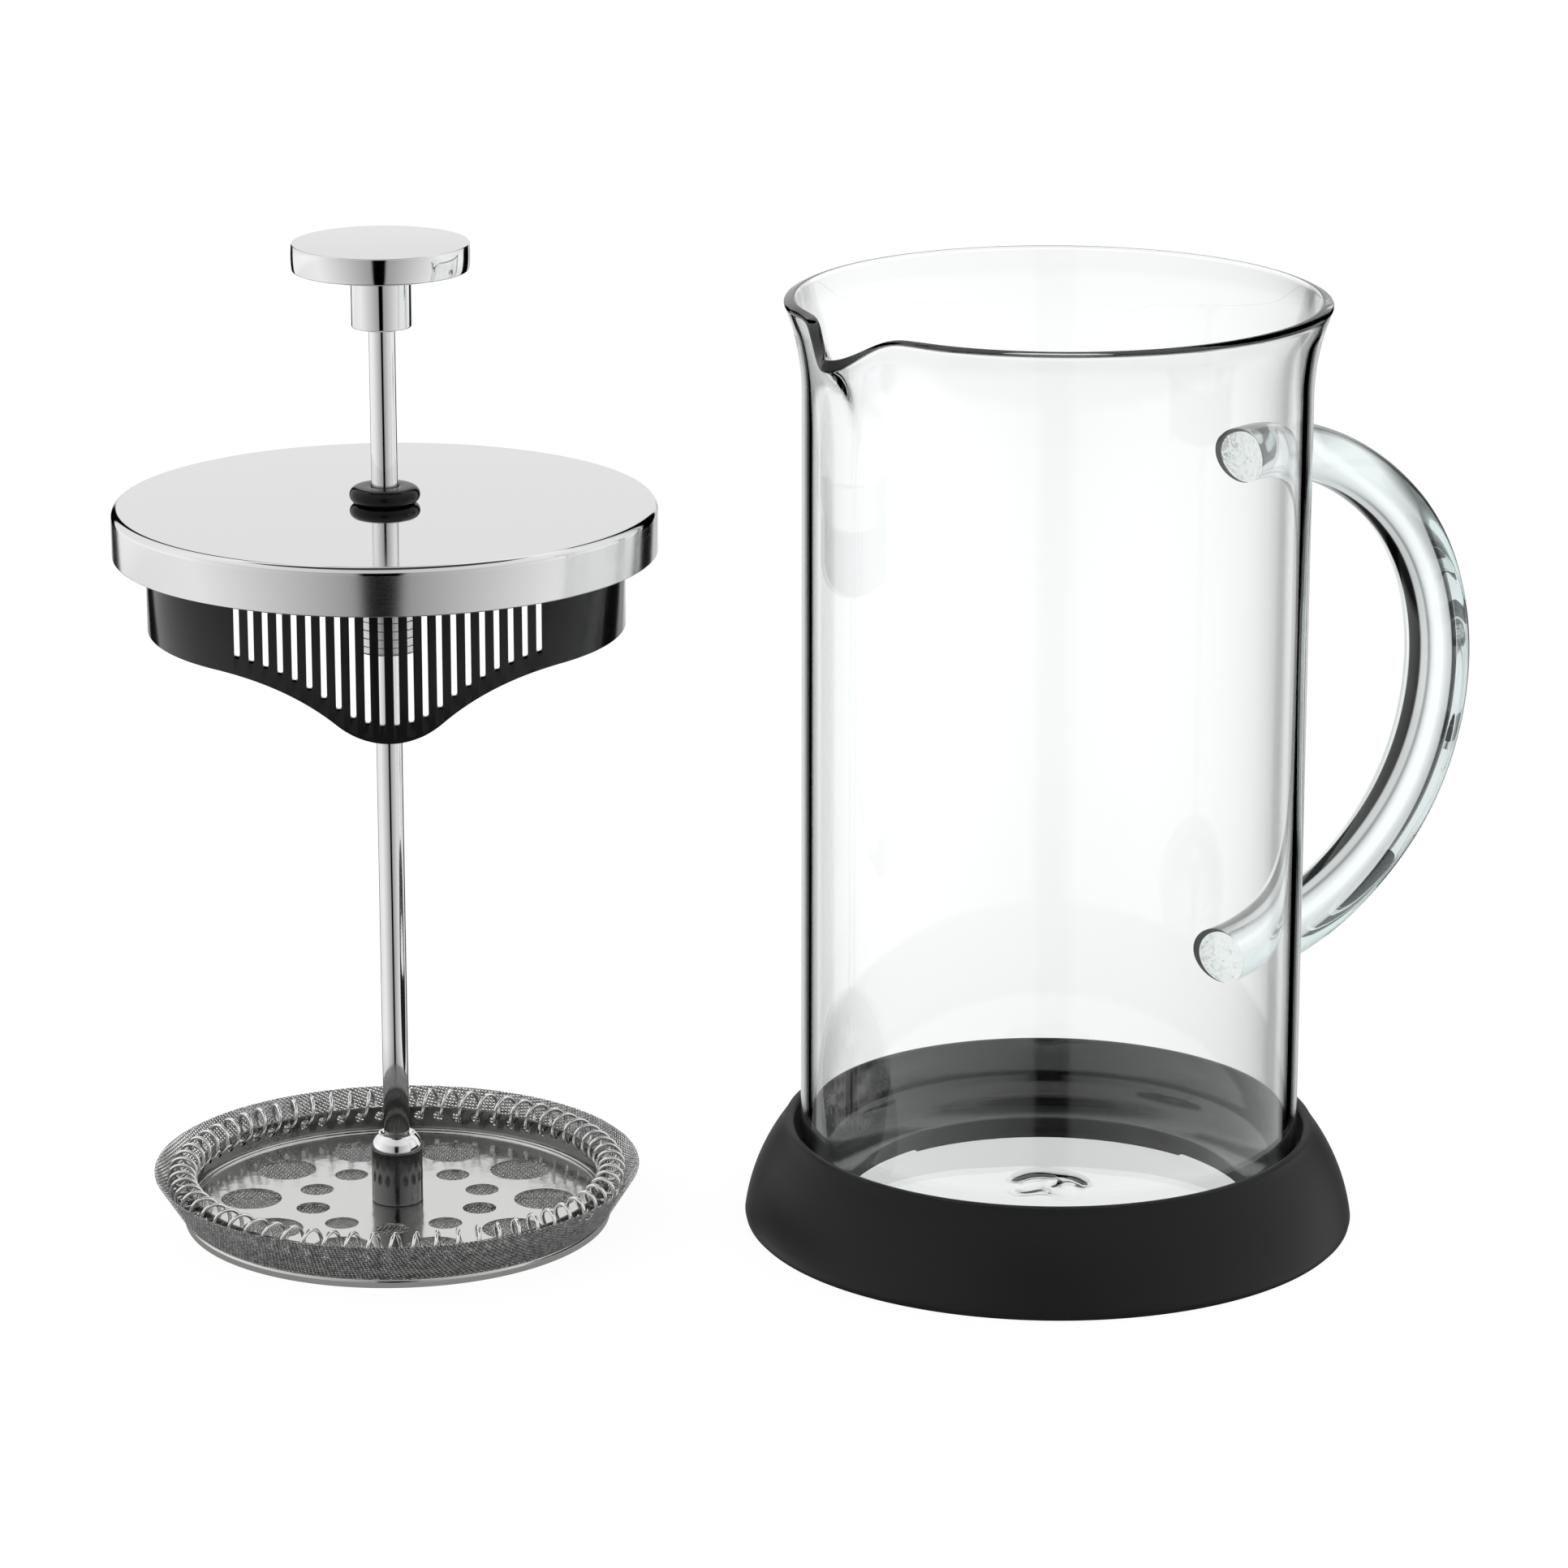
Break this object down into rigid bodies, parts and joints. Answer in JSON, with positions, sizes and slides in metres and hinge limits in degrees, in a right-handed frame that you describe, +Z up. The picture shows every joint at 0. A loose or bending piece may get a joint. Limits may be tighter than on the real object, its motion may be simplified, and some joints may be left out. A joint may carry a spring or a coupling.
{
  "type": "french press",
  "caption": "Glass coffee jug with a welded glass handle and soft black base, and its plunger standing beside it: rod, knob, steel lid with slotted strainer, spring-edged mesh filter.",
  "frame": {"origin": "on the table, under the middle of the jug and the plunger together", "axes": "+X from the plunger to the jug, +Y away from the viewer, +Z up"},
  "size_m": [0.2646, 0.1352, 0.192],
  "materials": {
    "clear_glass": "clear, fire polished",
    "base_black": "soft, fine matt",
    "polished_steel": "mirror polished",
    "lid_steel": "polished top, fine turned side",
    "plate_steel": "bright rolled sheet, stamped",
    "mesh_steel": "fine woven wire",
    "spring_steel": "bright drawn wire",
    "black_plastic": "gloss moulded",
    "bush_metal": "turned"
  },
  "bodies": {
    "jug": {"glass_beaker": "clear_glass", "glass_handle": "clear_glass", "base_ring": "base_black"},
    "plunger": {"knob_disc": "polished_steel", "knob_neck": "polished_steel", "plunger_rod": "polished_steel", "hub_nut": "polished_steel", "spring_plate": "plate_steel", "coil_spring": "spring_steel", "mesh_screen": "mesh_steel", "cross_plate": "plate_steel"},
    "lid_guide": {"guide_bush": "bush_metal", "rod_grommet": "black_plastic"},
    "lid": {"lid_cap": "lid_steel", "strainer_collar": "black_plastic"}
  },
  "joints": [
    {"name": "plunger_lift", "type": "slide", "parent": "jug", "child": "plunger", "axis": [0, 0, 1], "range_m": [0, 0.25]},
    {"name": "lid_slide", "type": "slide", "parent": "plunger", "child": "lid_guide", "axis": [0, 0, 1], "range_m": [-0.0945, 0.0303]},
    {"name": "lid_turn", "type": "hinge", "parent": "lid_guide", "child": "lid", "pos_m": [-0.08079, -0.00883, 0.1423], "axis": [0, 0, 1], "continuous": true}
  ]
}
